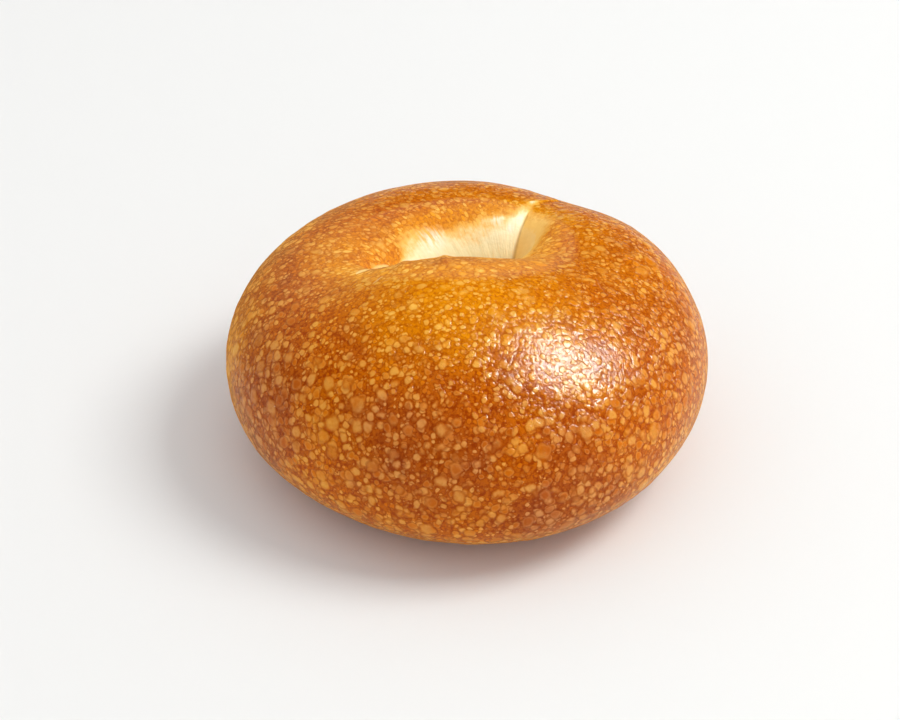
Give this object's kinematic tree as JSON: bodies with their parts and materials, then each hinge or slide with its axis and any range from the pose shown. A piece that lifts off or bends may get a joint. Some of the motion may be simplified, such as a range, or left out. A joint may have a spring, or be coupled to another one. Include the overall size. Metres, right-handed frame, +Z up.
{
  "type": "bagel",
  "caption": "Plump plain bagel with a blistered golden crust, a hole risen to a narrow slit, and a V-shaped crease in the hole's back wall where the dough was joined",
  "frame": {"origin": "centre of the bounding box in plan, at the level of the flat underside", "axes": "+Z is up, out of the flat underside; the tall front of the ring faces -Y, and the V-shaped crease lies to the right of the back, towards +X +Y"},
  "size_m": [0.114, 0.1142, 0.055],
  "materials": {
    "crust": "satin"
  },
  "bodies": {
    "root": {"bagel": "crust"}
  },
  "joints": []
}
